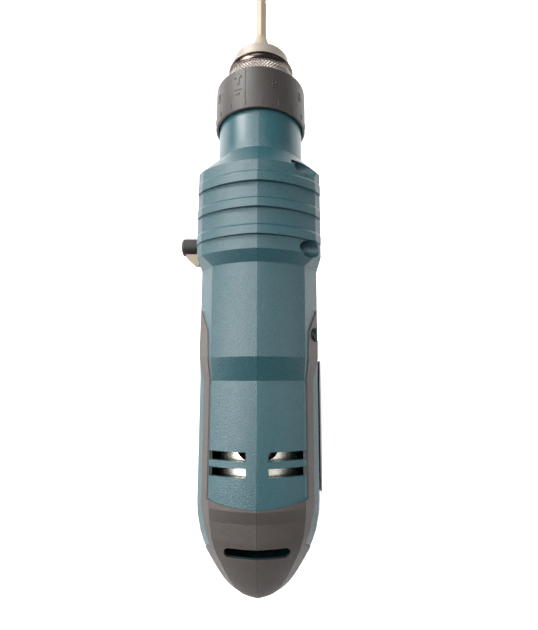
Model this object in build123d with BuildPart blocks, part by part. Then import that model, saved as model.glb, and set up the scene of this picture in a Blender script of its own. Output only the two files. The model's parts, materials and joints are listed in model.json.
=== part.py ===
from build123d import *
import math
import os

os.makedirs("parts", exist_ok=True)

# ---------------------------------------------------------------------------
# Hand-held capping driver: torque-limited, pistol grip, slide-on battery foot.
# Frame: +Y towards the drive shank, +Z up, +X to the operator's right.
# The origin is the centre of the battery's underside.
# Stations along the casing are given from its middle step line (station 0).
# ---------------------------------------------------------------------------
YA = 15.0            # frame Y of station 0
ZA = 200.0           # height of the spindle axis
WALL = 2.6           # casing wall
SEAM = 0.04          # half of the parting gap between the casing halves

# casing stations
S_PANEL_END = -62.8  # rear end of the top panel
S_STEP0 = 0.0        # rear end of the middle step
S_STEP1 = 12.0       # front end of the middle step
S_MID1 = 60.5        # front end of the middle barrel
S_GEAR0 = 66.5       # rear end of the ribbed gear section
S_GEAR1 = 114.8      # front end of the ribbed gear section
RIBS = [(73.7, 79.7), (88.3, 94.2), (102.4, 108.8)]
S_SH = 128.3         # shoulder meets the neck
S_NECK1 = 158.0      # front end of the neck
R_NECK = 25.0

# drive line
R_CAN = 22.0
CAN0, CAN1 = -60.0, 4.0
R_SHAFT = 2.5
MOD = 1.0
Z_SUN, Z_PLANET, Z_RING = 12, 15, 42
PA = math.radians(25.0)
PLANET_C = MOD * (Z_SUN + Z_PLANET) / 2.0
GEAR0, GEAR1 = 13.0, 25.0
R_SPINDLE = 6.0
R_TUBE = 15.0
RING0, RING1 = 150.5, 178.2
R_TRING = 27.4
HEX_AF = 6.35
SHANK_END = 256.0

# handle, foot and battery
H_TOP = (-12.0, -18.0)     # station, height from the axis
H_BOT = (-27.0, -136.0)
FOOT_Z0, FOOT_Z1 = 48.0, 66.0
BAT_HALF_X, BAT_HALF_Y = 37.0, 57.0


def PY(s):
    """Plane across the drive axis at station s: local (x, y) is (X, Z)."""
    return Plane(origin=(0, s + YA, ZA), x_dir=(1, 0, 0), z_dir=(0, -1, 0))


def PX(x):
    """Plane across X: local (x, y) is (Y, Z) of the frame."""
    return Plane(origin=(x, 0, 0), x_dir=(0, 1, 0), z_dir=(1, 0, 0))


# right-hand half of each casing cross-section: (mid, end) pairs from the ridge
BASE = {
    "R": (33.3, 28.5, 28.0, [((12.6, 25.7), (24.0, 20.2)), (None, (31.8, 9.0)), ((33.1, 1.5), (33.3, -6.0)),
                             ((31.9, -14.5), (28.0, -21.5)), ((15.0, -26.6), (0.0, -28.0))]),
    "M": (32.5, 33.0, 30.0, [((12.6, 29.9), (24.6, 23.3)), (None, (32.0, 11.5)), ((32.6, 2.0), (32.5, -8.0)),
                             ((30.8, -16.6), (27.0, -23.5)), ((14.5, -28.5), (0.0, -30.0))]),
    "G": (34.2, 37.2, 32.0, [((15.2, 33.4), (31.0, 23.5)), (None, (34.2, 18.5)), ((34.5, 2.0), (34.2, -14.0)),
                             ((32.4, -21.0), (28.0, -26.0)), ((15.0, -30.5), (0.0, -32.0))]),
}


def circ_pairs(rx, rz):
    out = []
    for a, b in ((0, 40), (40, 62), (62, 105), (105, 140), (140, 180)):
        m = math.radians((a + b) / 2)
        e = math.radians(b)
        out.append(((rx * math.sin(m), rz * math.cos(m)), (rx * math.sin(e), rz * math.cos(e))))
    return out


def half_profile(kind, hw, top, bot):
    if kind == "C":
        return (0.0, top), circ_pairs(hw, top)
    bw, bt, bb, pairs = BASE[kind]

    def sc(p):
        if p is None:
            return None
        return (p[0] * hw / bw, p[1] * (top / bt if p[1] >= 0 else bot / bb))

    return (0.0, top), [(sc(m), sc(e)) for m, e in pairs]


def section(s, kind, hw, top, bot):
    """A closed casing cross-section at station s."""
    start, pairs = half_profile(kind, hw, top, bot)
    with BuildSketch(PY(s)) as sk:
        with BuildLine():
            p = start
            for mid, end in pairs:
                if abs(end[0]) < 1e-6:
                    end = (0.0, end[1])
                if mid is None:
                    Line(p, end)
                else:
                    ThreePointArc(p, mid, end)
                p = end
            mirror(about=Plane.YZ)
        make_face()
    return sk.sketch


TAIL = [(-77.0, 31.4, 23.0, 27.0), (-82.0, 29.6, 21.8, 26.4), (-87.0, 27.0, 20.0, 25.4), (-92.0, 24.0, 17.6, 24.0),
        (-97.0, 20.9, 14.8, 22.4), (-101.5, 17.6, 12.2, 20.6), (-105.0, 14.2, 10.0, 18.8), (-107.6, 10.6, 8.2, 17.0),
        (-109.2, 6.6, 6.8, 15.0), (-109.9, 2.4, 6.0, 13.5)]
R_SEC = (33.3, 26.5, 28.0)
M_SEC = (32.5, 32.0, 30.0)
G_SEC = (34.0, 38.0, 32.0)    # over the ribs
G_LOW = (33.9, 36.0, 31.6)    # between the ribs


def casing(d, tail_stop=None, front=S_NECK1, ribbed=True):
    """Outer form of the casing, moved outwards by d."""
    def S(s, kind, hw, top, bot):
        return section(s, kind, hw + d, top + d, bot + d)

    with BuildPart() as p:
        tail = [t for t in TAIL if tail_stop is None or t[0] >= tail_stop]
        loft(sections=[S(t[0], "R", t[1], t[2], t[3]) for t in tail])
        loft(sections=[S(-69.0, "R", 33.0, 24.0, 27.6), S(*TAIL[0][:1], "R", *TAIL[0][1:])], ruled=True)
        loft(sections=[S(S_PANEL_END, "R", *R_SEC), S(-69.0, "R", 33.0, 24.0, 27.6)], ruled=True)
        extrude(S(S_STEP0, "R", *R_SEC), amount=S_STEP0 - S_PANEL_END)
        loft(sections=[S(S_STEP0, "R", *R_SEC), S(S_STEP1, "M", *M_SEC)], ruled=True)
        extrude(S(S_MID1, "M", *M_SEC), amount=S_MID1 - S_STEP1)
        loft(sections=[S(S_MID1, "M", *M_SEC), S(S_GEAR0, "G", *G_LOW)], ruled=True)
        extrude(S(S_GEAR1, "G", *G_LOW), amount=S_GEAR1 - S_GEAR0)
        if ribbed:
            for a, b in RIBS:
                extrude(S(b - 1.6, "G", *G_SEC), amount=b - a - 1.6)
                loft(sections=[S(b - 1.6, "G", *G_SEC), S(b, "G", *G_LOW)], ruled=True)
        loft(sections=[S(S_GEAR1, "G", *G_LOW), S(S_SH, "C", R_NECK, R_NECK, R_NECK)], ruled=True)
        extrude(S(front, "C", R_NECK, R_NECK, R_NECK), amount=front - S_SH)
    return p.part


def handle(d):
    """Grip column: a loft of ellipses leaning backwards."""
    with BuildPart() as p:
        secs = []
        for t, hx, hy in ((0.0, 20.0, 28.0), (0.28, 17.5, 23.5), (0.62, 17.8, 24.5), (1.0, 19.5, 27.0)):
            s = H_TOP[0] + (H_BOT[0] - H_TOP[0]) * t
            z = H_TOP[1] + (H_BOT[1] - H_TOP[1]) * t
            with BuildSketch(Plane(origin=(0, s + YA, ZA + z), x_dir=(1, 0, 0), z_dir=(0, 0, 1))) as e:
                Ellipse(hx + d, hy + d)
            secs.append(e.sketch)
        loft(sections=secs)
    return p.part


def pcyl(r, h):
    return Cylinder(r, h, mode=Mode.PRIVATE)


def pbox(x, y, z):
    return Box(x, y, z, mode=Mode.PRIVATE)


def psph(r):
    return Sphere(r, mode=Mode.PRIVATE)


def block(x0, x1, y0, y1, z0, z1):
    """An axis-aligned block given by its corners, for cutting and cropping."""
    return Pos((x0 + x1) / 2, (y0 + y1) / 2, (z0 + z1) / 2) * pbox(x1 - x0, y1 - y0, z1 - z0)


# ---------------------------------------------------------------- casing forms
outer_form = casing(0.0)
cavity_form = casing(-WALL, tail_stop=-105.0, front=S_NECK1 + 4, ribbed=False)
cavity_form = cavity_form - block(-60, 60, -200, -92.0 + YA, 0, 400)
handle_form = handle(0.0)
handle_cavity = handle(-WALL) - block(-60, 60, -200, 200, 0, FOOT_Z1 - WALL - 0.5)

with BuildPart() as foot_b:
    with BuildSketch(Plane.XY.offset(FOOT_Z0)):
        RectangleRounded(2 * BAT_HALF_X, 2 * BAT_HALF_Y, 12)
    extrude(amount=FOOT_Z1 - FOOT_Z0)
    chamfer(foot_b.edges().group_by(Axis.Z)[-1], length=3.0)
foot_form = foot_b.part

# battery channel under the foot, open to the front
with BuildPart() as chan_b:
    with BuildSketch(Plane.XY.offset(FOOT_Z0 - 1)):
        with Locations((0, 4)):
            Rectangle(56, 112)
    extrude(amount=9)
    with BuildSketch(Plane.XY.offset(FOOT_Z0 + 4)):
        with Locations((0, 4)):
            Rectangle(62, 112)
    extrude(amount=4.0)
chan_form = chan_b.part
foot_hollow = block(-33, 33, -52, 50, FOOT_Z0 + 10.5, FOOT_Z1 - WALL)

# ------------------------------------------------------------ soft overmould
# side band: a wedge of the cross-section, with a pointed front end
with BuildPart() as band_b:
    with BuildSketch(PX(20.0)):
        with BuildLine():
            Polyline((-140, ZA + 13.2), (-140, ZA + 40), (S_PANEL_END + YA - 2, ZA + 40), (S_PANEL_END + YA - 2, ZA + 17.2),
                     (S_STEP0 + YA - 2, ZA + 17.2), (S_STEP1 + YA + 1, ZA + 20.8), (26 + YA, ZA + 19.8), (38 + YA, ZA + 12.4), (20 + YA, ZA + 11.8),
                     (S_STEP0 + YA - 2, ZA + 12.4), close=True)
        make_face()
    extrude(amount=30)
    mirror(about=Plane.YZ)
with BuildPart() as tail_b:
    with BuildSketch(Plane.XY.offset(ZA + 1)):
        with BuildLine():
            ThreePointArc((-40, YA - 53.5), (0, YA + S_PANEL_END + 0.9), (40, YA - 53.5))
            Polyline((40, YA - 53.5), (40, -140), (-40, -140), (-40, YA - 53.5))
        make_face()
    extrude(amount=60)
with BuildPart() as tailside_b:
    with BuildSketch(PX(-60)):
        with BuildLine():
            Polyline((-140, ZA + 60), (YA - 50, ZA + 60), (YA - 50, ZA + 12.6), (YA - 82, ZA + 12.6), (YA - 87, ZA + 2), (YA - 84, ZA - 30), (-140, ZA - 40), close=True)
        make_face()
    extrude(amount=120)
with BuildPart() as taillow_b:
    with BuildSketch(PX(-60)):
        with BuildLine():
            Polyline((-140, ZA + 6), (YA - 85.5, ZA + 6), (YA - 87, ZA + 2), (YA - 84, ZA - 40), (-140, ZA - 40), close=True)
        make_face()
    extrude(amount=120)
bumper_region = band_b.part + (tail_b.part & tailside_b.part) + taillow_b.part
bumper_form = (casing(0.5) & bumper_region) - casing(-1.5)

grip_skin = handle(0.5) - handle(-1.4)
with BuildPart() as gripreg_b:
    with BuildSketch(PX(-40)):
        with BuildLine():
            Polyline((H_TOP[0] + YA - 2, ZA - 44), (H_TOP[0] + YA - 60, ZA - 30), (H_BOT[0] + YA - 60, 70), (H_BOT[0] + YA - 6, 70), close=True)
        make_face()
    extrude(amount=80)
grip_form = grip_skin & gripreg_b.part
grip_form = grip_form - casing(0.8)

# long slot through the rear bumper
slot_cut = Pos(0, YA - 83.7, ZA + 22) * extrude(SlotOverall(33.0, 5.2), amount=40, both=True)

shell = (outer_form + handle_form + foot_form) - cavity_form - handle_cavity - chan_form - foot_hollow
shell = shell - bumper_form - grip_form - slot_cut

# ------------------------------------------------- vents and other openings
vents = [block(sx * 5.6 if sx > 0 else -24.6, 24.6 if sx > 0 else -5.6, YA + a, YA + b, ZA + 10, ZA + 40)
         for sx in (1, -1) for a, b in ((-39.4, -35.0), (-47.2, -42.8))]
for v in vents:
    shell = shell - v
# trigger window, lever passage and selector hole
shell = shell - block(-7.4, 7.4, YA - 1, YA + 30, ZA - 66, ZA - 37)
shell = shell - block(-40, 40, YA - 1.3, YA + 7.3, ZA - 36.2, ZA - 30.8)
SEL = (76.6, 4.0)
shell = shell - Pos(-34, YA + SEL[0], ZA + SEL[1]) * Rot(0, 90, 0) * pcyl(3.1, 20)

# ------------------------------------------------------------ casing screws
# station, height from axis, head seat X, tip X
SCREWS = [(114.5, 26.0, 17.5, -14.0), (69.5, 24.5, 19.0, -14.0), (24.4, 14.5, 27.4, 21.6),
          (108.0, -24.0, 20.0, -14.0), (66.0, -24.5, 20.0, -14.0), (-70.0, -20.5, 19.0, -14.0),
          (-33.0, -60.0, 8.0, -8.5), (-25.0, -105.0, 8.0, -12.0), (30.0, -139.3, 20.0, -14.0), (-58.0, -139.3, 20.0, -14.0)]
bosses_l, bosses_r, holes, counter = [], [], [], []
for i, (s, z, xs, xt) in enumerate(SCREWS):
    base = Pos(0, YA + s, ZA + z) * Rot(0, 90, 0)
    if i != 2:
        bosses_r.append(Pos((xs + 0.0) / 2, YA + s, ZA + z) * Rot(0, 90, 0) * pcyl(4.2, xs + 3.0))
        reach = 30.0 if i < 6 else abs(xt) + 3
        bosses_l.append(Pos(-reach / 2, YA + s, ZA + z) * Rot(0, 90, 0) * pcyl(3.6, reach))
    if i < 6:
        # tube wall round the head recess, out to the casing surface
        t0 = {0: 16.0, 1: 16.0, 2: 26.5}.get(i, xs - 3.0)
        tr = {0: 5.8, 1: 5.8, 2: 5.2}.get(i, 5.4)
        bosses_r.append(Pos((t0 + 50.0) / 2, YA + s, ZA + z) * Rot(0, 90, 0) * pcyl(tr, 50.0 - t0))
    holes.append(Pos((xs + xt) / 2, YA + s, ZA + z) * Rot(0, 90, 0) * pcyl(1.6, xs - xt + 0.6))
    counter.append(Pos(xs + 15, YA + s, ZA + z) * Rot(0, 90, 0) * pcyl(4.6 if i < 2 else 3.9 if i == 2 else 4.2, 30))
inside = (outer_form + handle_form + foot_form) - grip_form - bumper_form
for b in bosses_r + bosses_l:
    shell = shell + (b & inside)
for h in holes + counter:
    shell = shell - h

RIGHT = block(SEAM, 80, -200, 300, -10, 400)
LEFT = block(-80, -SEAM, -200, 300, -10, 400)

left_half = (shell & LEFT).solids().sort_by(SortBy.VOLUME)[-1]
right_half = (shell & RIGHT).solids().sort_by(SortBy.VOLUME)[-1]

with BuildPart() as housing_left:
    add(left_half)
housing_left.part.label = "housing_left"
export_step(housing_left.part, "parts/housing_left.step")

with BuildPart() as housing_right:
    add(right_half)
housing_right.part.label = "housing_right"
export_step(housing_right.part, "parts/housing_right.step")

bumper_form = bumper_form - slot_cut
for c in counter:
    bumper_form = bumper_form - c
for nm, side in (("left", LEFT), ("right", RIGHT)):
    with BuildPart() as rear_bumper:
        add(bumper_form & side)
    rear_bumper.part.label = "rear_bumper_" + nm
    export_step(rear_bumper.part, "parts/rear_bumper_" + nm + ".step")
    with BuildPart() as handle_grip:
        add((grip_form & side) - counter[6] - counter[7])
    handle_grip.part.label = "handle_grip_" + nm
    export_step(handle_grip.part, "parts/handle_grip_" + nm + ".step")


def save(builder, label):
    builder.part.label = label
    export_step(builder.part, "parts/" + label + ".step")


def ring_solid(s0, s1, r_out, r_in):
    """Tube along the drive axis between two stations."""
    tube = pcyl(r_out, s1 - s0)
    if r_in > 0:
        tube = tube - pcyl(r_in, s1 - s0 + 1.0)
    return Pos(0, YA + (s0 + s1) / 2, ZA) * Rot(90, 0, 0) * tube


# ------------------------------------------------------------ screws as a group
with BuildPart() as housing_screws:
    for i, (s, z, xs, xt) in enumerate(SCREWS):
        add(Pos((xs + xt) / 2 + 0.2, YA + s, ZA + z) * Rot(0, 90, 0) * pcyl(1.45, xs - xt - 0.2))
        head = Pos(xs + 1.1, YA + s, ZA + z) * Rot(0, 90, 0) * pcyl(3.2, 2.2)
        add(head - Pos(xs + 2.1, YA + s, ZA + z) * pbox(1.6, 1.0, 4.2) - Pos(xs + 2.1, YA + s, ZA + z) * pbox(1.6, 4.2, 1.0))
save(housing_screws, "housing_screws")

# ------------------------------------------------------------------- motor
can_window = Pos(0, YA - 32.6, ZA + 20) * extrude(SlotOverall(21.5, 15.0), amount=12, both=True)
with BuildPart() as motor_can:
    add(ring_solid(CAN0, CAN1, R_CAN, R_CAN - 1.4))
    add(ring_solid(CAN1 - 1.6, CAN1, R_CAN - 1.0, 4.3))
    add(ring_solid(CAN1, CAN1 + 3.0, 8.5, 4.3))
    add(can_window, mode=Mode.SUBTRACT)
save(motor_can, "motor_can")

with BuildPart() as motor_magnets:
    add(ring_solid(-44, 0, R_CAN - 1.4, 17.6) - block(-30, 30, YA - 60, YA + 10, ZA - 7, ZA + 7))
    add(can_window, mode=Mode.SUBTRACT)
save(motor_magnets, "motor_magnets")

with BuildPart() as motor_end_cap:
    add(ring_solid(CAN0 - 2.5, CAN0, R_CAN, 4.3))
    add(ring_solid(CAN0 - 6.5, CAN0 - 2.5, 8.5, 4.3))
    add(ring_solid(CAN0, CAN0 + 3.0, R_CAN - 1.4, 19.0))
    for sx in (1, -1):
        add(block(min(sx * 7.9, sx * 17.0), max(sx * 7.9, sx * 17.0), YA + CAN0, YA + CAN0 + 9, ZA - 4.5, ZA + 4.5)
            - block(min(sx * 7.0, sx * 16.0), max(sx * 7.0, sx * 16.0), YA + CAN0 + 2, YA + CAN0 + 8, ZA - 3.0, ZA + 3.0))
    with Locations((12.5, YA + CAN0 - 3.5, ZA + 8), (-12.5, YA + CAN0 - 3.5, ZA + 8)):
        Box(4.8, 2.4, 0.8)
save(motor_end_cap, "motor_end_cap")

with BuildPart() as carbon_brushes:
    for sx in (1, -1):
        add(block(min(sx * 7.65, sx * 15.0), max(sx * 7.65, sx * 15.0), YA + CAN0 + 2.4, YA + CAN0 + 7.6, ZA - 2.7, ZA + 2.7))
save(carbon_brushes, "carbon_brushes")

with BuildPart() as motor_bearings:
    add(ring_solid(CAN0 - 5.5, CAN0 - 1.5, 4.28, R_SHAFT + 0.05))
    add(ring_solid(CAN1 - 1.3, CAN1 + 2.6, 4.28, R_SHAFT + 0.05))
save(motor_bearings, "motor_bearings")

with BuildPart() as motor_shaft:
    add(ring_solid(CAN0 - 8.0, GEAR1 + 1.0, R_SHAFT, 0))
save(motor_shaft, "motor_shaft")

with BuildPart() as commutator:
    add(ring_solid(CAN0 + 2.0, CAN0 + 11.0, 7.4, R_SHAFT))
    for k in range(12):
        a = math.radians(30 * k + 15)
        add(Pos(7.5 * math.sin(a), YA + CAN0 + 6.0, ZA + 7.5 * math.cos(a)) * Rot(0, math.degrees(a), 0) * pbox(0.6, 8.0, 1.6), mode=Mode.SUBTRACT)
save(commutator, "commutator")

with BuildPart() as armature_core:
    add(ring_solid(-42, -6, 16.8, R_SHAFT))
    for k in range(12):
        a = math.radians(30 * k)
        add(Pos(14.0 * math.sin(a), YA - 24, ZA + 14.0 * math.cos(a)) * Rot(0, math.degrees(a), 0) * pbox(2.0, 40, 8.0), mode=Mode.SUBTRACT)
        add(Pos(11.0 * math.sin(a), YA - 24, ZA + 11.0 * math.cos(a)) * Rot(90, 0, 0) * pcyl(2.1, 40), mode=Mode.SUBTRACT)
save(armature_core, "armature_core")

with BuildPart() as armature_windings:
    add(ring_solid(-47.5, -42.0, 14.2, 5.2))
    add(ring_solid(-6.0, -2.6, 14.2, 5.2))
    for k in range(12):
        a = math.radians(30 * k)
        add(Pos(11.0 * math.sin(a), YA - 24, ZA + 11.0 * math.cos(a)) * Rot(90, 0, 0) * pcyl(1.9, 36.0))
save(armature_windings, "armature_windings")


# ------------------------------------------------------------------- gears
def involute_outline(z, add_r, root_r, thin, phase, flank=5):
    """Closed outline of a spur gear; thin is the tooth thinning at the pitch circle."""
    r = MOD * z / 2.0
    rb = r * math.cos(PA)
    inv = math.tan(PA) - PA
    half = math.pi / (2 * z) - thin / (2 * r)

    def half_angle(rho):
        ph = math.sqrt(max((rho / rb) ** 2 - 1.0, 0.0))
        return half + inv - (ph - math.atan(ph))

    r0 = max(rb, root_r)
    radii = [r0 + (add_r - r0) * i / flank for i in range(flank + 1)]
    pts = []
    for k in range(z):
        c = phase + 2 * math.pi * k / z
        left = [(rho, c - half_angle(rho)) for rho in radii]
        right = [(rho, c + half_angle(rho)) for rho in reversed(radii)]
        seq = ([(root_r, c - half_angle(r0))] if root_r < rb - 1e-6 else []) + left + right + ([(root_r, c + half_angle(r0))] if root_r < rb - 1e-6 else [])
        pts += [(rho * math.cos(t), rho * math.sin(t)) for rho, t in seq]
    return pts


def gear_solid(s0, s1, pts, cx, cz, bore):
    with BuildPart() as g:
        with BuildSketch(PY(s1)):
            with BuildLine():
                Polyline(*[(p[0] + cx, p[1] + cz) for p in pts], close=True)
            make_face()
            if bore > 0:
                with Locations((cx, cz)):
                    Circle(bore, mode=Mode.SUBTRACT)
        extrude(amount=s1 - s0)
    return g.part


THIN = 0.12
sun_pts = involute_outline(Z_SUN, 6.95, 4.85, THIN, 0.0)
sun_form = gear_solid(GEAR0, GEAR1, sun_pts, 0, 0, R_SHAFT)
with BuildPart() as sun_gear:
    add(sun_form)
save(sun_gear, "sun_gear")

PLANETS = []
for n, deg in (("a", 90.0), ("b", 210.0), ("c", 330.0)):
    psi = math.radians(deg)
    phase = psi + math.pi - (2.0 / Z_PLANET) * ((Z_SUN / 2.0) * (0.0 - psi) + math.pi / 2.0)
    cx, cz = PLANET_C * math.cos(psi), PLANET_C * math.sin(psi)
    PLANETS.append((n, cx, cz))
    planet_form = gear_solid(GEAR0 + 0.5, GEAR1 - 0.5, involute_outline(Z_PLANET, 8.45, 6.25, THIN, phase), cx, cz, 2.5)
    with BuildPart() as planet_gear:
        add(planet_form)
    save(planet_gear, "planet_gear_" + n)

ring_cut = gear_solid(GEAR0 - 2.0, GEAR1 + 2.0, involute_outline(Z_RING, 22.3, 20.15, -THIN, math.pi / 42.0), 0, 0, 0)
with BuildPart() as ring_gear:
    add(ring_solid(GEAR0 - 1.0, GEAR1 + 1.0, 24.4, 0) - ring_cut)
save(ring_gear, "ring_gear")

# gear case: rear plate on the motor boss, barrel round the ring gear, front plate
S_CASE_F = 38.0
with BuildPart() as gear_case:
    add(ring_solid(CAN1 + 3.2, GEAR0 - 1.0, 26.0, 7.2))
    add(ring_solid(GEAR0 - 1.0, S_CASE_F, 26.0, 24.45))
    add(Pos(24.0, YA + 24.4, ZA + 14.5) * Rot(0, 90, 0) * pcyl(1.5, 16), mode=Mode.SUBTRACT)
save(gear_case, "gear_case")

with BuildPart() as clutch_ring:
    add(ring_solid(GEAR1 + 1.1, GEAR1 + 4.5, 24.3, 18.7))
save(clutch_ring, "clutch_ring")

BALL_R = 2.4
with BuildPart() as nose_tube:
    add(ring_solid(31.0, S_CASE_F, 24.3, 8.6))
    add(ring_solid(S_CASE_F, 166.5, R_TUBE, 13.05))
    add(ring_solid(164.6, 165.8, R_TUBE + 1, 14.3), mode=Mode.SUBTRACT)
    for k in range(6):
        a = math.radians(60 * k + 30)
        add(Pos(19.6 * math.cos(a), YA + 34.5, ZA + 19.6 * math.sin(a)) * Rot(90, 0, 0) * pcyl(BALL_R + 0.1, 12), mode=Mode.SUBTRACT)
save(nose_tube, "nose_tube")

with BuildPart() as clutch_balls:
    for k in range(6):
        a = math.radians(60 * k + 30)
        add(Pos(19.6 * math.cos(a), YA + 32.0, ZA + 19.6 * math.sin(a)) * psph(BALL_R))
        add(Pos(19.6 * math.cos(a), YA + 36.85, ZA + 19.6 * math.sin(a)) * psph(BALL_R))
save(clutch_balls, "clutch_balls")

with BuildPart() as pressure_sleeve:
    add(ring_solid(39.4, 42.0, 22.0, 15.4))
    add(ring_solid(42.0, 118.0, 17.4, 15.4))
    add(ring_solid(116.0, 118.0, 20.0, 15.4))
save(pressure_sleeve, "pressure_sleeve")

SPRING0, SPRING1 = 118.2, 149.6
wire_r = 1.0
helix = Pos(0, YA + SPRING0 + wire_r, ZA) * Rot(-90, 0, 0) * Helix(pitch=(SPRING1 - SPRING0 - 2 * wire_r) / 6.0, height=SPRING1 - SPRING0 - 2 * wire_r, radius=17.6)
with BuildPart() as clutch_spring:
    with BuildSketch(Plane(origin=helix @ 0, z_dir=helix % 0)):
        Circle(wire_r)
    sweep(path=Wire(helix.edges()) if not isinstance(helix, Edge) else helix, is_frenet=True)
save(clutch_spring, "clutch_spring")

with BuildPart() as clutch_nut:
    add(ring_solid(149.8, 157.8, 20.4, R_TUBE + 0.35))
    for k in range(3):
        a = math.radians(120 * k + 90)
        add(Pos(20.9 * math.cos(a), YA + 153.8, ZA + 20.9 * math.sin(a)) * Rot(0, -math.degrees(a), 0) * pbox(2.6, 8.0, 4.0))
save(clutch_nut, "clutch_nut")

with BuildPart() as bearing_rear:
    add(ring_solid(60.0, 69.0, 13.0, R_SPINDLE + 0.05))
save(bearing_rear, "bearing_rear")
with BuildPart() as bearing_front:
    add(ring_solid(153.0, 163.0, 13.0, R_SPINDLE + 0.05))
save(bearing_front, "bearing_front")
with BuildPart() as retaining_clip:
    add(ring_solid(164.7, 165.7, 17.2, 14.35) - block(-3, 3, YA + 160, YA + 170, ZA - 20, ZA - 10))
save(retaining_clip, "retaining_clip")

# ------------------------------------------------------- spindle and chuck
with BuildPart() as planet_carrier:
    add(ring_solid(GEAR1 + 0.2, GEAR1 + 4.2, 17.8, R_SPINDLE))
    for n, cx, cz in PLANETS:
        add(Pos(cx, YA + (GEAR0 + GEAR1) / 2 + 0.6, ZA + cz) * Rot(90, 0, 0) * pcyl(2.45, GEAR1 - GEAR0 + 0.4))
save(planet_carrier, "planet_carrier")

hex_r = HEX_AF / 2 / math.cos(math.pi / 6)
with BuildPart() as spindle:
    add(ring_solid(GEAR1 + 1.5, 176.0, R_SPINDLE, 0))
save(spindle, "spindle")

SOCKET0 = 180.0
with BuildPart() as chuck_body:
    add(ring_solid(168.5, 198.4, 12.0, 0))
    add(ring_solid(197.2, 198.4, 14.3, 0))
    add(ring_solid(160.0, 176.0, R_SPINDLE, 0), mode=Mode.SUBTRACT)
    with BuildSketch(PY(199.4)):
        RegularPolygon(hex_r + 0.06, 6)
    extrude(amount=199.4 - SOCKET0, mode=Mode.SUBTRACT)
    for sx in (1, -1):
        add(Pos(sx * 8.0, YA + 194.6, ZA) * Rot(0, 90, 0) * pcyl(1.85, 8.2), mode=Mode.SUBTRACT)
save(chuck_body, "chuck_body")

with BuildPart() as detent_balls:
    for sx in (1, -1):
        add(Pos(sx * 10.1, YA + 194.6, ZA) * psph(1.75))
save(detent_balls, "detent_balls")

with BuildPart() as knurled_collar:
    with BuildSketch(Plane(origin=(0, YA, ZA), x_dir=(0, 1, 0), z_dir=(-1, 0, 0))):
        with BuildLine():
            Polyline((168.6, 12.0), (168.6, 18.6), (170.0, 20.25), (187.2, 20.25), (187.6, 19.7), (190.8, 19.2), (190.9, 20.25), (191.5, 20.25), (191.5, 16.0), (187.2, 16.0), (187.2, 12.0), close=True)
        make_face()
    revolve(axis=Axis((0, 0, ZA), (0, 1, 0)))
save(knurled_collar, "knurled_collar")

with BuildPart() as release_sleeve:
    with BuildSketch(Plane(origin=(0, YA, ZA), x_dir=(0, 1, 0), z_dir=(-1, 0, 0))):
        with BuildLine():
            Line((187.5, 12.1), (187.5, 15.7))
            Line((187.5, 15.7), (191.8, 15.7))
            Line((191.8, 15.7), (191.8, 18.2))
            Line((191.8, 18.2), (192.8, 18.5))
            Line((192.8, 18.5), (193.6, 17.9))
            Line((193.6, 17.9), (198.6, 17.4))
            ThreePointArc((198.6, 17.4), (200.156, 16.756), (200.8, 15.2))
            Line((200.8, 15.2), (200.8, 6.6))
            Line((200.8, 6.6), (199.0, 6.6))
            Line((199.0, 6.6), (199.0, 14.6))
            Line((199.0, 14.6), (189.0, 14.6))
            Line((189.0, 14.6), (189.0, 12.1))
            Line((189.0, 12.1), (187.5, 12.1))
        make_face()
    revolve(axis=Axis((0, 0, ZA), (0, 1, 0)))
save(release_sleeve, "release_sleeve")

rs_helix = Pos(0, YA + 189.5, ZA) * Rot(-90, 0, 0) * Helix(pitch=1.8, height=7.2, radius=13.3)
with BuildPart() as release_spring:
    with BuildSketch(Plane(origin=rs_helix @ 0, z_dir=rs_helix % 0)):
        Circle(0.4)
    sweep(path=rs_helix, is_frenet=True)
save(release_spring, "release_spring")

# 1/4 inch hex drive shank with its cone collar and detent groove
with BuildPart() as drive_shank:
    with BuildSketch(PY(SHANK_END)):
        RegularPolygon(hex_r, 6)
    extrude(amount=SHANK_END - SOCKET0 - 0.3)
    with BuildSketch(Plane(origin=(0, YA, ZA), x_dir=(0, 1, 0), z_dir=(-1, 0, 0))):
        with BuildLine():
            Polyline((202.0, 0), (202.0, 5.4), (211.4, 5.4), (217.2, 3.3), (217.2, 0), close=True)
        make_face()
    revolve(axis=Axis((0, 0, ZA), (0, 1, 0)))
    add(ring_solid(242.0, 246.6, 6.0, 2.75), mode=Mode.SUBTRACT)
    with BuildSketch(Plane(origin=(0, YA, ZA), x_dir=(0, 1, 0), z_dir=(-1, 0, 0))):
        with BuildLine():
            Polyline((SHANK_END - 1.2, 3.9), (SHANK_END + 0.1, 2.5), (SHANK_END + 0.1, 3.9), close=True)
        make_face()
    revolve(axis=Axis((0, 0, ZA), (0, 1, 0)), mode=Mode.SUBTRACT)
save(drive_shank, "drive_shank")

# ----------------------------------------------------------- torque ring
with BuildPart() as torque_ring:
    with BuildSketch(Plane(origin=(0, YA, ZA), x_dir=(0, 1, 0), z_dir=(-1, 0, 0))):
        with BuildLine():
            Line((RING0, 25.7), (RING0, 27.0))
            Line((RING0, 27.0), (RING0 + 0.5, R_TRING))
            Line((RING0 + 0.5, R_TRING), (175.4, 27.2))
            ThreePointArc((175.4, 27.2), (177.2, 25.9), (RING1, 23.2))
            Line((RING1, 23.2), (RING1, 20.75))
            Line((RING1, 20.75), (167.4, 20.75))
            Line((167.4, 20.75), (167.4, 17.6))
            Line((167.4, 17.6), (164.4, 17.6))
            Line((164.4, 17.6), (164.4, R_TUBE + 0.08))
            Line((164.4, R_TUBE + 0.08), (159.6, R_TUBE + 0.08))
            Line((159.6, R_TUBE + 0.08), (159.6, 25.7))
            Line((159.6, 25.7), (RING0, 25.7))
        make_face()
    revolve(axis=Axis((0, 0, ZA), (0, 1, 0)))
save(torque_ring, "torque_ring")

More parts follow.
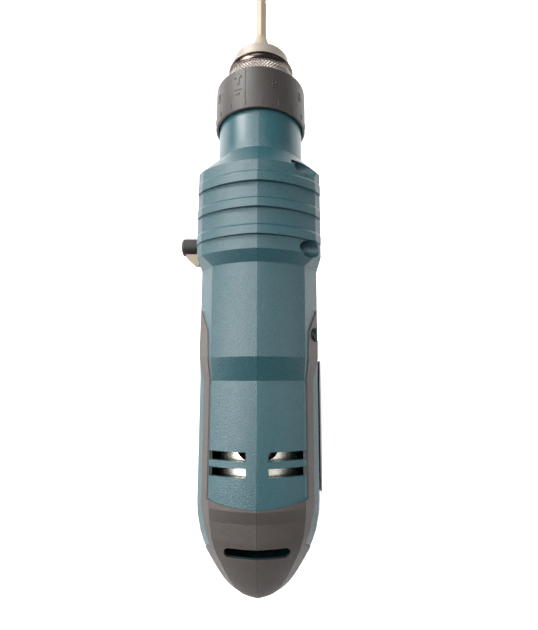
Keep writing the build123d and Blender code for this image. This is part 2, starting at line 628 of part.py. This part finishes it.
# ------------------------------------------------------ trigger and switch
TRIG_S, TRIG_Z = 16.0, -51.5
with BuildPart() as trigger:
    with BuildSketch(PX(-7.0)):
        with BuildLine():
            y0, z0 = YA + TRIG_S, ZA + TRIG_Z
            Line((y0 - 8, z0 - 13.5), (y0 + 8, z0 - 13.5))
            ThreePointArc((y0 + 8, z0 - 13.5), (y0 + 4.5, z0), (y0 + 9.5, z0 + 13.8))
            Line((y0 + 9.5, z0 + 13.8), (y0 - 8, z0 + 13.8))
            Line((y0 - 8, z0 + 13.8), (y0 - 8, z0 - 13.5))
        make_face()
    extrude(amount=14.0)
    add(Pos(0, YA + TRIG_S - 10.5, ZA + TRIG_Z - 6) * Rot(90, 0, 0) * pcyl(2.0, 9.0))
save(trigger, "trigger")

with BuildPart() as switch_body:
    add(block(-9.5, 9.5, YA - 24, YA - 1.5, ZA - 70, ZA - 37.6))
    add(Pos(0, YA - 4, ZA + TRIG_Z - 6) * Rot(90, 0, 0) * pcyl(2.1, 22), mode=Mode.SUBTRACT)
    add(Pos(0, YA - 2, ZA + TRIG_Z + 5) * Rot(90, 0, 0) * pcyl(3.9, 12), mode=Mode.SUBTRACT)
save(switch_body, "switch_body")

ts_helix = Pos(0, YA - 7.2, ZA + TRIG_Z + 5) * Rot(-90, 0, 0) * Helix(pitch=2.4, height=14.4, radius=3.0)
with BuildPart() as trigger_spring:
    with BuildSketch(Plane(origin=ts_helix @ 0, z_dir=ts_helix % 0)):
        Circle(0.35)
    sweep(path=ts_helix, is_frenet=True)
save(trigger_spring, "trigger_spring")

with BuildPart() as direction_lever:
    add(block(-22.5, 22.5, YA - 1.0, YA + 7.0, ZA - 35.9, ZA - 31.1))
    chamfer(direction_lever.edges().filter_by(Axis.Y), length=1.0)
save(direction_lever, "direction_lever")

# ---------------------------------------- mode selector on the left flank
sx0 = -34.4
with BuildPart() as selector_knob:
    with BuildSketch(PX(sx0 - 10.4)):
        with Locations((YA + SEL[0], ZA + SEL[1])):
            Circle(5.1)
    extrude(amount=10.2)
    fillet(selector_knob.edges().filter_by(GeomType.CIRCLE).sort_by(Axis.X)[0], radius=1.6)
    add(Pos(sx0 + 3.5, YA + SEL[0], ZA + SEL[1]) * Rot(0, 90, 0) * pcyl(3.0, 9.0))
save(selector_knob, "selector_knob")
with BuildPart() as selector_pointer:
    with BuildSketch(PX(sx0 - 7.6)):
        with BuildLine():
            Polyline((YA + SEL[0] - 5.12, ZA + SEL[1] + 4.0), (YA + SEL[0] - 11.1, ZA + SEL[1] + 2.4), (YA + SEL[0] - 11.1, ZA + SEL[1] - 2.4), (YA + SEL[0] - 5.12, ZA + SEL[1] - 4.0), close=True)
        make_face()
    extrude(amount=7.3)
    with BuildSketch(Plane.XY.offset(ZA - 20)):
        with BuildLine():
            Polyline((sx0 - 7.8, YA + SEL[0] - 6.4), (sx0 - 7.8, YA + SEL[0] - 13), (sx0 - 2.6, YA + SEL[0] - 13), (sx0 - 2.6, YA + SEL[0] - 11.2), close=True)
        make_face()
    extrude(amount=40, mode=Mode.SUBTRACT)
save(selector_pointer, "selector_pointer")

# blank rating plate on the right flank
with BuildPart() as rating_plate:
    with BuildSketch(PX(33.5)):
        with Locations((YA - 24.0, ZA - 3.0)):
            RectangleRounded(70, 14, 2)
    extrude(amount=0.7)
save(rating_plate, "rating_plate")

# --------------------------------------------------------------- battery
with BuildPart() as battery_case_lower:
    with BuildSketch(Plane.XY):
        RectangleRounded(2 * BAT_HALF_X - 2, 2 * BAT_HALF_Y - 2, 11)
    extrude(amount=30.0)
    chamfer(battery_case_lower.edges().group_by(Axis.Z)[0], length=2.0)
    with BuildSketch(Plane.XY.offset(2.4)):
        RectangleRounded(2 * BAT_HALF_X - 7, 2 * BAT_HALF_Y - 7, 8.5)
    extrude(amount=30.0, mode=Mode.SUBTRACT)
save(battery_case_lower, "battery_case_lower")

with BuildPart() as battery_case_upper:
    with BuildSketch(Plane.XY.offset(30.1)):
        RectangleRounded(2 * BAT_HALF_X, 2 * BAT_HALF_Y, 12)
    extrude(amount=17.5)
    with BuildSketch(Plane.XY.offset(30.1)):
        RectangleRounded(2 * BAT_HALF_X - 6, 2 * BAT_HALF_Y - 6, 9)
    extrude(amount=14.9, mode=Mode.SUBTRACT)
    with BuildSketch(Plane.XY.offset(47.6)):
        with Locations((0, 8)):
            Rectangle(54.4, 94)
    extrude(amount=4.8)
    with BuildSketch(Plane.XY.offset(52.4)):
        with Locations((0, 8)):
            Rectangle(61.0, 94)
    extrude(amount=3.0)
    # terminal slots in the rail block
    with BuildSketch(Plane.XY.offset(49.0)):
        with Locations((-16, -31), (0, -31), (16, -31)):
            Rectangle(2.0, 18)
    extrude(amount=8, mode=Mode.SUBTRACT)
    with BuildSketch(Plane(origin=(0, BAT_HALF_Y + 0.1, 38.8), x_dir=(1, 0, 0), z_dir=(0, -1, 0))):
        Rectangle(26.6, 11.2)
    extrude(amount=9.0, mode=Mode.SUBTRACT)
save(battery_case_upper, "battery_case_upper")

with BuildPart() as battery_cells:
    for zz in (12.2, 31.2):
        for k in range(5):
            add(Pos(0, (k - 2) * 19.2 - 1.5, zz) * Rot(0, 90, 0) * pcyl(9.1, 65.0))
save(battery_cells, "battery_cells")

with BuildPart() as battery_terminals:
    for x in (-16, 0, 16):
        add(block(x - 0.6, x + 0.6, -31.0, -24.0, 49.1, 55.0))
save(battery_terminals, "battery_terminals")

with BuildPart() as terminal_block:
    add(block(-25, 25, -51.8, -42.6, FOOT_Z0 + 1.0, FOOT_Z0 + 7.8))
    for x in (-16, 0, 16):
        add(block(x - 0.4, x + 0.4, -43.0, -33.0, 50.0, 54.5))
save(terminal_block, "terminal_block")

with BuildPart() as battery_button:
    with BuildSketch(Plane(origin=(0, BAT_HALF_Y + 0.6, 38.8), x_dir=(1, 0, 0), z_dir=(0, -1, 0))):
        RectangleRounded(26.0, 10.6, 2)
    extrude(amount=4.6)
    with BuildSketch(Plane(origin=(0, BAT_HALF_Y + 0.7, 38.8), x_dir=(1, 0, 0), z_dir=(0, -1, 0))):
        with GridLocations(4.0, 1, 5, 1):
            Rectangle(1.2, 7.0)
    extrude(amount=0.7, mode=Mode.SUBTRACT)
save(battery_button, "battery_button")

bs_helix = Pos(0, BAT_HALF_Y - 8.0, 38.8) * Rot(-90, 0, 0) * Helix(pitch=0.9, height=3.6, radius=3.0)
with BuildPart() as button_spring:
    with BuildSketch(Plane(origin=bs_helix @ 0, z_dir=bs_helix % 0)):
        Circle(0.3)
    sweep(path=bs_helix, is_frenet=True)
save(button_spring, "button_spring")
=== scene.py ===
import bpy, bmesh, json, math, random
from mathutils import Vector, Matrix


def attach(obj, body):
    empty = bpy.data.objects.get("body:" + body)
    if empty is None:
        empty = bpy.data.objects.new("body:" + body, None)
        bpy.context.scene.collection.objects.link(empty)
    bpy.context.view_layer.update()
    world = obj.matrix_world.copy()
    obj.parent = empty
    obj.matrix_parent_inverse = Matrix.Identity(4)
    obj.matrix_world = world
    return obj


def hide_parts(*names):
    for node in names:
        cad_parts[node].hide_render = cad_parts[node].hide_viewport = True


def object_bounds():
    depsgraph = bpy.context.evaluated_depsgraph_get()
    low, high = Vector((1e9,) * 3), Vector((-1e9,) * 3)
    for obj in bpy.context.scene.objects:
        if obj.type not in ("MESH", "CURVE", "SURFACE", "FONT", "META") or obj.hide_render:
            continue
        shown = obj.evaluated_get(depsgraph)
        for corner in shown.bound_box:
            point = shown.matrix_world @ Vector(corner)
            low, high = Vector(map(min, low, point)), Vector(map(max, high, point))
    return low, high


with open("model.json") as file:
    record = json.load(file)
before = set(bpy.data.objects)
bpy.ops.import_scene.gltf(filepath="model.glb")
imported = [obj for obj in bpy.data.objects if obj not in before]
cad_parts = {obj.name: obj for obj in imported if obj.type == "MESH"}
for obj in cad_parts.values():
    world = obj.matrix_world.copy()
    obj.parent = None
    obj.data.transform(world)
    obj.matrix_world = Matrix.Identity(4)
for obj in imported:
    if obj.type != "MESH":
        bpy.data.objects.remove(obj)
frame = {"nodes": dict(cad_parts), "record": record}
cad_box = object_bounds()
N = frame["nodes"]
rng = random.Random(7)

YA, ZA = 0.015, 0.200          # frame Y of station 0, height of the spindle axis
MM = 0.001


# ------------------------------------------------------------------ materials
def nodes_of(mat):
    mat.use_nodes = True
    nt = mat.node_tree
    nt.nodes.clear()
    out = nt.nodes.new("ShaderNodeOutputMaterial")
    bsdf = nt.nodes.new("ShaderNodeBsdfPrincipled")
    nt.links.new(bsdf.outputs["BSDF"], out.inputs["Surface"])
    return nt, bsdf


def tex(nt, kind, scale, detail=2.0, rough=0.5, vec=None, **kw):
    t = nt.nodes.new(kind)
    t.inputs["Scale"].default_value = scale
    if "Detail" in t.inputs:
        t.inputs["Detail"].default_value = detail
    if "Roughness" in t.inputs:
        t.inputs["Roughness"].default_value = rough
    for k, v in kw.items():
        setattr(t, k, v)
    if vec is not None:
        nt.links.new(vec, t.inputs["Vector"])
    return t


def ramp(nt, fac, stops):
    r = nt.nodes.new("ShaderNodeValToRGB")
    els = r.color_ramp.elements
    while len(els) < len(stops):
        els.new(0.5)
    for e, (p, c) in zip(els, stops):
        e.position = p
        e.color = (*c, 1.0) if len(c) == 3 else c
    nt.links.new(fac, r.inputs["Fac"])
    return r


def maprange(nt, val, a, b, c, d):
    m = nt.nodes.new("ShaderNodeMapRange")
    m.inputs["From Min"].default_value = a
    m.inputs["From Max"].default_value = b
    m.inputs["To Min"].default_value = c
    m.inputs["To Max"].default_value = d
    nt.links.new(val, m.inputs["Value"])
    return m.outputs["Result"]


def scaled(c, k):
    return tuple(min(1.0, x * k) for x in c)


def moulded(name, color, rough, grain_scale, grain, spread=0.10, edge=0.00035, spec=0.5, painted_glint=0.0, coat=0.0,
            smooth_from=None):
    """Moulded plastic or elastomer: cloudy colour, fine grain bump, rounded edges."""
    mat = bpy.data.materials.new(name)
    nt, b = nodes_of(mat)
    tc = nt.nodes.new("ShaderNodeTexCoord")
    ob = tc.outputs["Object"]
    cloud = tex(nt, "ShaderNodeTexNoise", 38.0, 4.0, 0.6, ob)
    fine = tex(nt, "ShaderNodeTexNoise", grain_scale, 3.0, 0.65, ob)
    col = ramp(nt, cloud.outputs["Fac"], [(0.30, scaled(color, 1 - spread)), (0.70, scaled(color, 1 + spread))])
    # the extra lift on the bright specks paints glints of light into the grain colour
    speck = ramp(nt, fine.outputs["Fac"], [(0.40, scaled(color, 0.86)), (0.62, scaled(color, 1.12 + painted_glint))])
    mix = nt.nodes.new("ShaderNodeMix")
    mix.data_type = "RGBA"
    mix.inputs["Factor"].default_value = 0.35
    nt.links.new(col.outputs["Color"], mix.inputs["A"])
    nt.links.new(speck.outputs["Color"], mix.inputs["B"])
    # slightly paler colour on convex edges
    geo = nt.nodes.new("ShaderNodeNewGeometry")
    convex_edge_mask = ramp(nt, geo.outputs["Pointiness"], [(0.50, (0, 0, 0)), (0.62, (1, 1, 1))])
    edge_pale_mix = nt.nodes.new("ShaderNodeMix")
    edge_pale_mix.data_type = "RGBA"
    edge_pale_amount = nt.nodes.new("ShaderNodeMath")
    edge_pale_amount.operation = "MULTIPLY"
    edge_pale_amount.inputs[1].default_value = 0.25
    nt.links.new(convex_edge_mask.outputs["Color"], edge_pale_amount.inputs[0])
    nt.links.new(edge_pale_amount.outputs["Value"], edge_pale_mix.inputs["Factor"])
    nt.links.new(mix.outputs["Result"], edge_pale_mix.inputs["A"])
    edge_pale_mix.inputs["B"].default_value = (*scaled(color, 1.6), 1)
    nt.links.new(edge_pale_mix.outputs["Result"], b.inputs["Base Color"])
    r = maprange(nt, fine.outputs["Fac"], 0.3, 0.7, rough - 0.07, rough + 0.09)
    nt.links.new(r, b.inputs["Roughness"])
    b.inputs["Specular IOR Level"].default_value = spec
    b.inputs["Coat Weight"].default_value = coat
    b.inputs["Coat Roughness"].default_value = 0.3
    bev = nt.nodes.new("ShaderNodeBevel")
    bev.samples = 4
    bev.inputs["Radius"].default_value = edge
    bump = nt.nodes.new("ShaderNodeBump")
    bump.inputs["Distance"].default_value = 0.00045
    if smooth_from is not None:
        sep = nt.nodes.new("ShaderNodeSeparateXYZ")
        nt.links.new(ob, sep.inputs["Vector"])
        st = maprange(nt, sep.outputs["Y"], smooth_from, smooth_from + 0.006, grain, grain * 0.15)
        nt.links.new(st, bump.inputs["Strength"])
    else:
        bump.inputs["Strength"].default_value = grain
    nt.links.new(fine.outputs["Fac"], bump.inputs["Height"])
    nt.links.new(bev.outputs["Normal"], bump.inputs["Normal"])
    nt.links.new(bump.outputs["Normal"], b.inputs["Normal"])
    return mat


def metal(name, color, rough, brushed=0.0, axis="Y", grain=0.08, spread=0.08, edge=0.0003, scale=900.0, metallic=1.0):
    """Turned, ground or plated metal with fine tool marks and patchy roughness."""
    mat = bpy.data.materials.new(name)
    nt, b = nodes_of(mat)
    tc = nt.nodes.new("ShaderNodeTexCoord")
    mp = nt.nodes.new("ShaderNodeMapping")
    sc = {"Y": (0.02, 1.0, 0.02), "X": (1.0, 0.02, 0.02), "Z": (0.02, 0.02, 1.0)}[axis]
    mp.inputs["Scale"].default_value = sc if brushed > 0 else (1, 1, 1)
    nt.links.new(tc.outputs["Object"], mp.inputs["Vector"])
    lines = tex(nt, "ShaderNodeTexNoise", scale * (3.0 if brushed > 0 else 1.0), 3.0, 0.7, mp.outputs["Vector"])
    cloud = tex(nt, "ShaderNodeTexNoise", 120.0, 4.0, 0.6, tc.outputs["Object"])
    col = ramp(nt, cloud.outputs["Fac"], [(0.3, scaled(color, 1 - spread)), (0.7, scaled(color, 1 + spread))])
    nt.links.new(col.outputs["Color"], b.inputs["Base Color"])
    b.inputs["Metallic"].default_value = metallic
    r = maprange(nt, lines.outputs["Fac"], 0.3, 0.7, max(rough - 0.08, 0.05), rough + 0.10)
    nt.links.new(r, b.inputs["Roughness"])
    bev = nt.nodes.new("ShaderNodeBevel")
    bev.samples = 4
    bev.inputs["Radius"].default_value = edge
    bump = nt.nodes.new("ShaderNodeBump")
    bump.inputs["Strength"].default_value = grain
    bump.inputs["Distance"].default_value = 0.0002
    nt.links.new(lines.outputs["Fac"], bump.inputs["Height"])
    nt.links.new(bev.outputs["Normal"], bump.inputs["Normal"])
    nt.links.new(bump.outputs["Normal"], b.inputs["Normal"])
    return mat


def srgb(r, g, b):
    def f(v):
        v /= 255.0
        return v / 12.92 if v <= 0.04045 else ((v + 0.055) / 1.055) ** 2.4
    return (f(r), f(g), f(b))


M = {}
# the teal's bright grain specks get painted glints (the last positional value)
M["teal"] = moulded("teal_moulded", srgb(36, 78, 86), 0.32, 1500.0, 0.52, 0.05, 0.00035, 0.85, 0.45, smooth_from=YA + 0.129)
M["rubber"] = moulded("elastomer", srgb(72, 65, 62), 0.50, 1500.0, 0.45, 0.07, 0.00045, 0.75)
M["dark"] = moulded("dark_moulded", srgb(54, 50, 48), 0.44, 1500.0, 0.30, 0.06, 0.0004, 0.7)
M["black"] = moulded("black_moulded", srgb(34, 34, 35), 0.48, 1500.0, 0.3, 0.08, 0.0003, 0.5)
M["satin"] = metal("satin_turned_steel", srgb(164, 155, 145), 0.50, 1.0, "Y", 0.10, 0.05, metallic=0.30)
M["knurl"] = metal("knurled_steel", srgb(172, 164, 157), 0.30, 0.0, "Y", 0.15, 0.12)
M["shank"] = metal("ground_hex_steel", srgb(174, 161, 141), 0.55, 0.0, "Y", 0.10, 0.06, metallic=0.25)
M["gear"] = metal("gear_steel", srgb(150, 148, 146), 0.33, 1.0, "Y", 0.10, 0.08)
M["zinc"] = metal("plated_can", srgb(240, 236, 222), 0.30, 0.0, "Y", 0.12, 0.05)
M["screw"] = metal("black_screw_steel", srgb(72, 72, 74), 0.40, 0.0, "X", 0.12, 0.15)
M["copper"] = metal("copper", srgb(186, 110, 76), 0.32, 1.0, "Y", 0.12, 0.12)
M["plate"] = moulded("foil_plate", srgb(196, 186, 180), 0.36, 900.0, 0.1, 0.04, 0.00008, 0.6)
M["magnet"] = moulded("ferrite", srgb(52, 52, 55), 0.6, 1100.0, 0.4, 0.12)
M["wrap"] = moulded("cell_wrap", srgb(34, 92, 130), 0.30, 700.0, 0.1, 0.05, 0.0005, 0.5)

SLOT_MAT = {"teal_casing": "teal", "elastomer": "rubber", "dark_plastic": "dark", "satin_steel": "satin", "polished_steel": "shank",
            "zinc_steel": "zinc", "gear_steel": "gear", "screw_steel": "screw", "copper": "copper", "magnet": "magnet",
            "black_plastic": "black", "carbon": "magnet", "plate_silver": "plate", "cell_wrap": "wrap"}
for sp in frame["record"]["subparts"]:
    o = N[sp["node"]]
    m = M[SLOT_MAT[sp["material_slot"]]]
    if not o.material_slots:
        o.data.materials.append(m)
    for s in o.material_slots:
        s.material = m


def set_mat(node, key):
    for s in N[node].material_slots:
        s.material = M[key]


set_mat("battery_case_upper", "teal")
set_mat("selector_knob", "black")
set_mat("selector_pointer", "shank")

# smooth shading by angle on the frame's own meshes
for n, o in N.items():
    me = o.data
    me.shade_smooth()
    try:
        me.set_sharp_from_angle(angle=math.radians(28))
    except Exception as e:
        print("sharp", n, e)


# ------------------------------------------------------------------ mesh tools
def new_piece(name, verts, faces, mat, sharp=30):
    me = bpy.data.meshes.new(name)
    me.from_pydata([tuple(v) for v in verts], [], faces)
    me.validate()
    me.update()
    bm = bmesh.new()
    bm.from_mesh(me)
    bmesh.ops.recalc_face_normals(bm, faces=bm.faces)
    bm.to_mesh(me)
    bm.free()
    me.shade_smooth()
    me.set_sharp_from_angle(angle=math.radians(sharp))
    me.materials.append(mat)
    o = bpy.data.objects.new(name, me)
    bpy.context.scene.collection.objects.link(o)
    return o


def pol(s, r, a):
    """Point at station s (mm), radius r (mm), angle a from the top towards +X."""
    return Vector((r * math.sin(a) * MM, YA + s * MM, ZA + r * math.cos(a) * MM))


def round_profile(pts, radii, seg=4):
    """Fillets the corners of a closed (s, r) outline."""
    out = []
    n = len(pts)
    for i, p in enumerate(pts):
        rad = radii[i] if i < len(radii) else 0
        if rad <= 0:
            out.append(p)
            continue
        a = Vector(pts[i - 1]) - Vector(p)
        b = Vector(pts[(i + 1) % n]) - Vector(p)
        la, lb = a.length, b.length
        a.normalize()
        b.normalize()
        ang = a.angle(b)
        d = min(rad / math.tan(ang / 2), la * 0.48, lb * 0.48)
        r = d * math.tan(ang / 2)
        c = Vector(p) + (a + b).normalized() * (r / math.sin(ang / 2))
        p0 = Vector(p) + a * d
        p1 = Vector(p) + b * d
        t0 = math.atan2(p0.y - c.y, p0.x - c.x)
        t1 = math.atan2(p1.y - c.y, p1.x - c.x)
        dt = (t1 - t0 + math.pi) % (2 * math.pi) - math.pi
        for k in range(seg + 1):
            t = t0 + dt * k / seg
            out.append((c.x + r * math.cos(t), c.y + r * math.sin(t)))
    return out


def revolve(name, prof, mat, seg=192, sharp=30, rfun=None):
    verts, faces = [], []
    n = len(prof)
    for k in range(seg):
        a = 2 * math.pi * k / seg
        for i, (s, r) in enumerate(prof):
            rr = r if rfun is None else rfun(s, r, a, i)
            verts.append(pol(s, rr, a))
    for k in range(seg):
        k2 = (k + 1) % seg
        for i in range(n):
            j = (i + 1) % n
            faces.append((k * n + i, k * n + j, k2 * n + j, k2 * n + i))
    return new_piece(name, verts, faces, mat, sharp)


# --------------------------------------------------------------- torque ring
ring_prof = round_profile([(150.5, 25.75), (150.5, 27.35), (165.0, 27.38), (175.6, 27.2), (178.15, 24.4), (178.15, 20.85),
                           (167.4, 20.85), (167.4, 17.65), (164.4, 17.65), (164.4, 15.12), (159.6, 15.12), (159.6, 25.75)],
                          [0.25, 0.7, 2.0, 1.6, 0.9, 0.3, 0.3, 0.3, 0.2, 0.2, 0.2, 0.6], 6)
ring = revolve("torque_ring_moulded", ring_prof, M["dark"], 240, 35)
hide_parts("torque_ring")
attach(ring, "torque_ring")


def ring_radius(s):
    if s < 165:
        return 27.36
    return 27.36 - 0.017 * (s - 165)


def ring_patch(name, outline, body_r, height, mat, body, sharp=25):
    """A low raised mark that follows the ring's curve. outline: (station, arc mm from the top towards +X)."""
    from mathutils.geometry import tessellate_polygon
    n = len(outline)
    cs = sum(p[0] for p in outline) / n
    cu = sum(p[1] for p in outline) / n
    verts = []
    for lift, shrink in ((-0.25, 1.0), (height * 0.6, 1.0), (height, 0.90)):
        for s, u in outline:
            ss = cs + (s - cs) * shrink
            uu = cu + (u - cu) * shrink
            verts.append(pol(ss, body_r(ss) + lift, uu / 27.38))
    tri = tessellate_polygon([[Vector((p[0], p[1], 0)) for p in outline]])
    faces = []
    for t in tri:
        faces.append((t[0] + 2 * n, t[1] + 2 * n, t[2] + 2 * n))
        faces.append((t[2], t[1], t[0]))
    for lv in (0, 1):
        for i in range(n):
            j = (i + 1) % n
            faces.append((lv * n + i, lv * n + j, (lv + 1) * n + j, (lv + 1) * n + i))
    p = new_piece(name, verts, faces, mat, sharp)
    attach(p, body)
    return p


def bar(s0, u0, s1, u1, w):
    """A straight stroke as a four-cornered outline."""
    d = Vector((s1 - s0, u1 - u0)).normalized()
    nrm = Vector((-d.y, d.x)) * (w / 2)
    return [(s0 + nrm.x, u0 + nrm.y), (s0 - nrm.x, u0 - nrm.y), (s1 - nrm.x, u1 - nrm.y), (s1 + nrm.x, u1 + nrm.y)]


SEGS = {"a": ((4, -1), (4, 1)), "b": ((4, 1), (2, 1)), "c": ((2, 1), (0, 1)), "d": ((0, -1), (0, 1)), "e": ((2, -1), (0, -1)),
        "f": ((4, -1), (2, -1)), "g": ((2, -1), (2, 1))}
DIG = {"1": "bc", "2": "abged", "3": "abgcd", "4": "fgbc", "5": "afgcd", "6": "afgedc", "7": "abc", "8": "abcdefg", "9": "abfgcd"}
marks = []


def digit(ch, s0, u0, k=1.0):
    for sg in DIG[ch]:
        (a, b), (c, d) = SEGS[sg]
        marks.append(bar(s0 + a * k, u0 + b * k, s0 + c * k, u0 + d * k, 0.75))


# arrow and index line on the upper left, numbers round the ring
marks.append([(174.0, -12.6), (170.6, -15.2), (170.6, -13.5), (166.0, -13.5), (166.0, -11.7), (170.6, -11.7), (170.6, -10.0)])
marks.append(bar(160.5, -13.9, 160.5, -11.3, 0.7))
marks.append(bar(163.0, -14.6, 163.0, -10.6, 0.7))
marks.append(bar(152.5, -8.1, 175.0, -8.1, 0.28))
marks.append(bar(168.6, 8.0, 169.2, 8.0, 0.8))
for i, ch in enumerate("23456789"):
    u = 172.0 / 9 * (i + 1) - 12.6 + 2.0
    digit(ch, 163.5, u, 1.0)
for i in range(18):
    u = -12.6 + 172.0 / 18 * i + 172.0 / 36
    marks.append(bar(152.6, u, 155.8, u, 0.55))
for i, ol in enumerate(marks):
    ring_patch("torque_mark_%02d" % i, ol, ring_radius, 0.26, M["dark"], "torque_ring")

# ------------------------------------------------------------ knurled collar
col_pts = [(168.6, 12.0), (168.6, 18.6), (170.0, 19.9)]
steps = 64
for i in range(steps + 1):
    col_pts.append((170.2 + (186.9 - 170.2) * i / steps, 19.95))
col_pts += [(187.4, 19.55), (188.4, 19.25), (189.6, 19.15), (190.5, 19.3), (190.75, 19.9), (191.1, 20.15), (191.5, 20.0), (191.5, 16.0), (187.2, 16.0), (187.2, 12.0)]


def knurl(s, r, a, i):
    if 3 <= i <= 3 + steps:
        u = a * 64 / (2 * math.pi)
        v = (s - 170.2) / 1.95
        t = abs(((u + v) % 1.0) - 0.5) * 2
        w = abs(((u - v) % 1.0) - 0.5) * 2
        fade = min(1.0, (i - 3) / 2.0, (3 + steps - i) / 2.0)
        return 19.95 - 0.85 * (1 - min(t, w)) * fade
    return r


collar = revolve("knurled_collar_turned", col_pts, M["knurl"], 512, 20, knurl)
collar.data.materials.append(M["satin"])
dk = metal("dark_polished_steel", srgb(104, 92, 88), 0.22, 1.0, "Y", 0.05, 0.05)
collar.data.materials.append(dk)
npf = len(col_pts)
for p in collar.data.polygons:
    i = p.index % npf
    if i < 3 or i >= 3 + steps:
        p.material_index = 2
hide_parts("knurled_collar")
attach(collar, "spindle")

# ------------------------------------------------------------ release sleeve
dome = [(187.5, 12.15), (187.5, 15.65), (191.85, 15.65), (191.85, 18.1), (192.75, 18.42), (193.6, 17.85), (194.2, 17.8), (198.4, 17.38)]
for k in range(1, 13):
    t = math.radians(90 * k / 12)
    dome.append((198.4 + 2.35 * math.sin(t), 15.03 + 2.35 * math.cos(t)))
dome += [(200.75, 7.0), (200.4, 6.65), (199.0, 6.65), (199.0, 14.55), (189.0, 14.55), (189.0, 12.15)]
sleeve = revolve("release_sleeve_turned", dome, M["satin"], 192, 40)
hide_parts("release_sleeve")
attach(sleeve, "release_sleeve")

# -------------------------------------------------------------- drive shank
rings = []
AF = 6.35 / 2


def hex_ring(s, apothem, bevel, rmax=99.0):
    pts = []
    for k in range(6):
        c = math.radians(60 * k)
        half = math.tan(math.radians(30)) * apothem
        for j in (-1.0, -(1 - bevel), -(1 - 2 * bevel), 0.0, (1 - 2 * bevel), (1 - bevel)):
            x, z = apothem, half * j
            r = math.hypot(x, z)
            a = c + math.atan2(z, x)
            rr = min(r, rmax, apothem / math.cos(math.radians(30)) * (1 - 0.012))
            pts.append((s, rr, a))
    return pts


n36 = 36


def round_ring(s, r):
    base = hex_ring(s, AF, 0.08)
    return [(s, r, a) for _, _, a in base]


shank_rings = [round_ring(180.4, 3.2), hex_ring(181.0, AF, 0.08), hex_ring(202.0, AF, 0.08), round_ring(202.0, 4.9), round_ring(202.4, 5.3),
               round_ring(211.2, 5.35), round_ring(212.2, 5.1), round_ring(216.2, 3.75), round_ring(217.2, 3.62), hex_ring(217.9, AF, 0.08),
               hex_ring(230.0, AF, 0.08), hex_ring(241.6, AF, 0.08), hex_ring(242.0, AF, 0.08, 3.5), round_ring(243.2, 2.85), round_ring(244.3, 2.75),
               round_ring(245.4, 2.85), hex_ring(246.6, AF, 0.08, 3.5), hex_ring(247.0, AF, 0.08), hex_ring(254.8, AF, 0.08, 3.6),
               round_ring(255.7, 2.9), round_ring(256.0, 2.5)]
verts, faces = [], []
for rg in shank_rings:
    for s, r, a in rg:
        verts.append(pol(s, r, a + math.radians(30)))
for i in range(len(shank_rings) - 1):
    for k in range(n36):
        k2 = (k + 1) % n36
        faces.append((i * n36 + k, i * n36 + k2, (i + 1) * n36 + k2, (i + 1) * n36 + k))
faces.append(tuple(range(n36)))
faces.append(tuple((len(shank_rings) - 1) * n36 + k for k in reversed(range(n36))))
shank = new_piece("drive_shank_ground", verts, faces, M["shank"], 20)
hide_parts("drive_shank")
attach(shank, "spindle")

# ------------------------------------------------------------ camera, lights
cam_data = bpy.data.cameras.new("camera")
cam = bpy.data.objects.new("camera", cam_data)
bpy.context.scene.collection.objects.link(cam)
F_PX = 425.0
cam_data.sensor_width = 36.0
cam_data.lens = 36.0 * F_PX / 630.0
cam_data.shift_x = -5.4 / 630.0
cam_data.clip_start = 0.01
cam_data.clip_end = 20.0
cam.location = (0.0085, YA, ZA + 0.243)
cam.rotation_euler = (math.radians(8.8), 0.0, 0.0)
bpy.context.scene.camera = cam


def area(name, loc, target, size, power, color=(1, 1, 1), size_y=None):
    ld = bpy.data.lights.new(name, "AREA")
    ld.energy = power
    ld.color = color
    ld.shape = "RECTANGLE"
    ld.size = size
    ld.size_y = size_y or size
    lo = bpy.data.objects.new(name, ld)
    bpy.context.scene.collection.objects.link(lo)
    lo.location = loc
    d = Vector(target) - Vector(loc)
    lo.rotation_euler = d.to_track_quat("-Z", "Y").to_euler()
    return lo


area("key", (-0.90, 1.25, 0.90), (0, 0.02, 0.2), 0.75, 22.0, (1.0, 0.985, 0.96))
area("softbox", (-0.34, 0.26, 1.15), (0, 0.02, 0.2), 1.05, 6.6, (1.0, 0.99, 0.975), 0.7)
area("sheen_left", (-0.98, 0.02, 0.98), (0, 0.0, 0.2), 0.5, 9.0, (1.0, 0.99, 0.98), 0.7)
area("sheen_right", (0.80, 0.08, 1.00), (0, 0.02, 0.2), 0.6, 2.8, (0.98, 0.99, 1.0), 0.8)

world = bpy.data.worlds.new("studio")
world.use_nodes = True
world.node_tree.nodes["Background"].inputs["Color"].default_value = (1.0, 1.0, 1.0, 1)
world.node_tree.nodes["Background"].inputs["Strength"].default_value = 0.14
bpy.context.scene.world = world
bpy.context.scene.view_settings.view_transform = "Standard"

# plain pale floor
fm = bpy.data.materials.new("floor_white")
nt, b = nodes_of(fm)
tc = nt.nodes.new("ShaderNodeTexCoord")
fn = tex(nt, "ShaderNodeTexNoise", 6.0, 2.0, 0.5, tc.outputs["Object"])
fr = ramp(nt, fn.outputs["Fac"], [(0.3, (0.93, 0.93, 0.93)), (0.7, (0.95, 0.95, 0.95))])
nt.links.new(fr.outputs["Color"], b.inputs["Base Color"])
b.inputs["Roughness"].default_value = 0.9
b.inputs["Specular IOR Level"].default_value = 0.1
b.inputs["Emission Color"].default_value = (1, 1, 1, 1)
b.inputs["Emission Strength"].default_value = 0.72
bm = bmesh.new()
bmesh.ops.create_grid(bm, x_segments=4, y_segments=4, size=6.0)
fme = bpy.data.meshes.new("floor")
bm.to_mesh(fme)
bm.free()
fme.materials.append(fm)
floor = bpy.data.objects.new("floor", fme)
floor.location = (0, 0, cad_box[0][2] - 0.0002)
bpy.context.scene.collection.objects.link(floor)
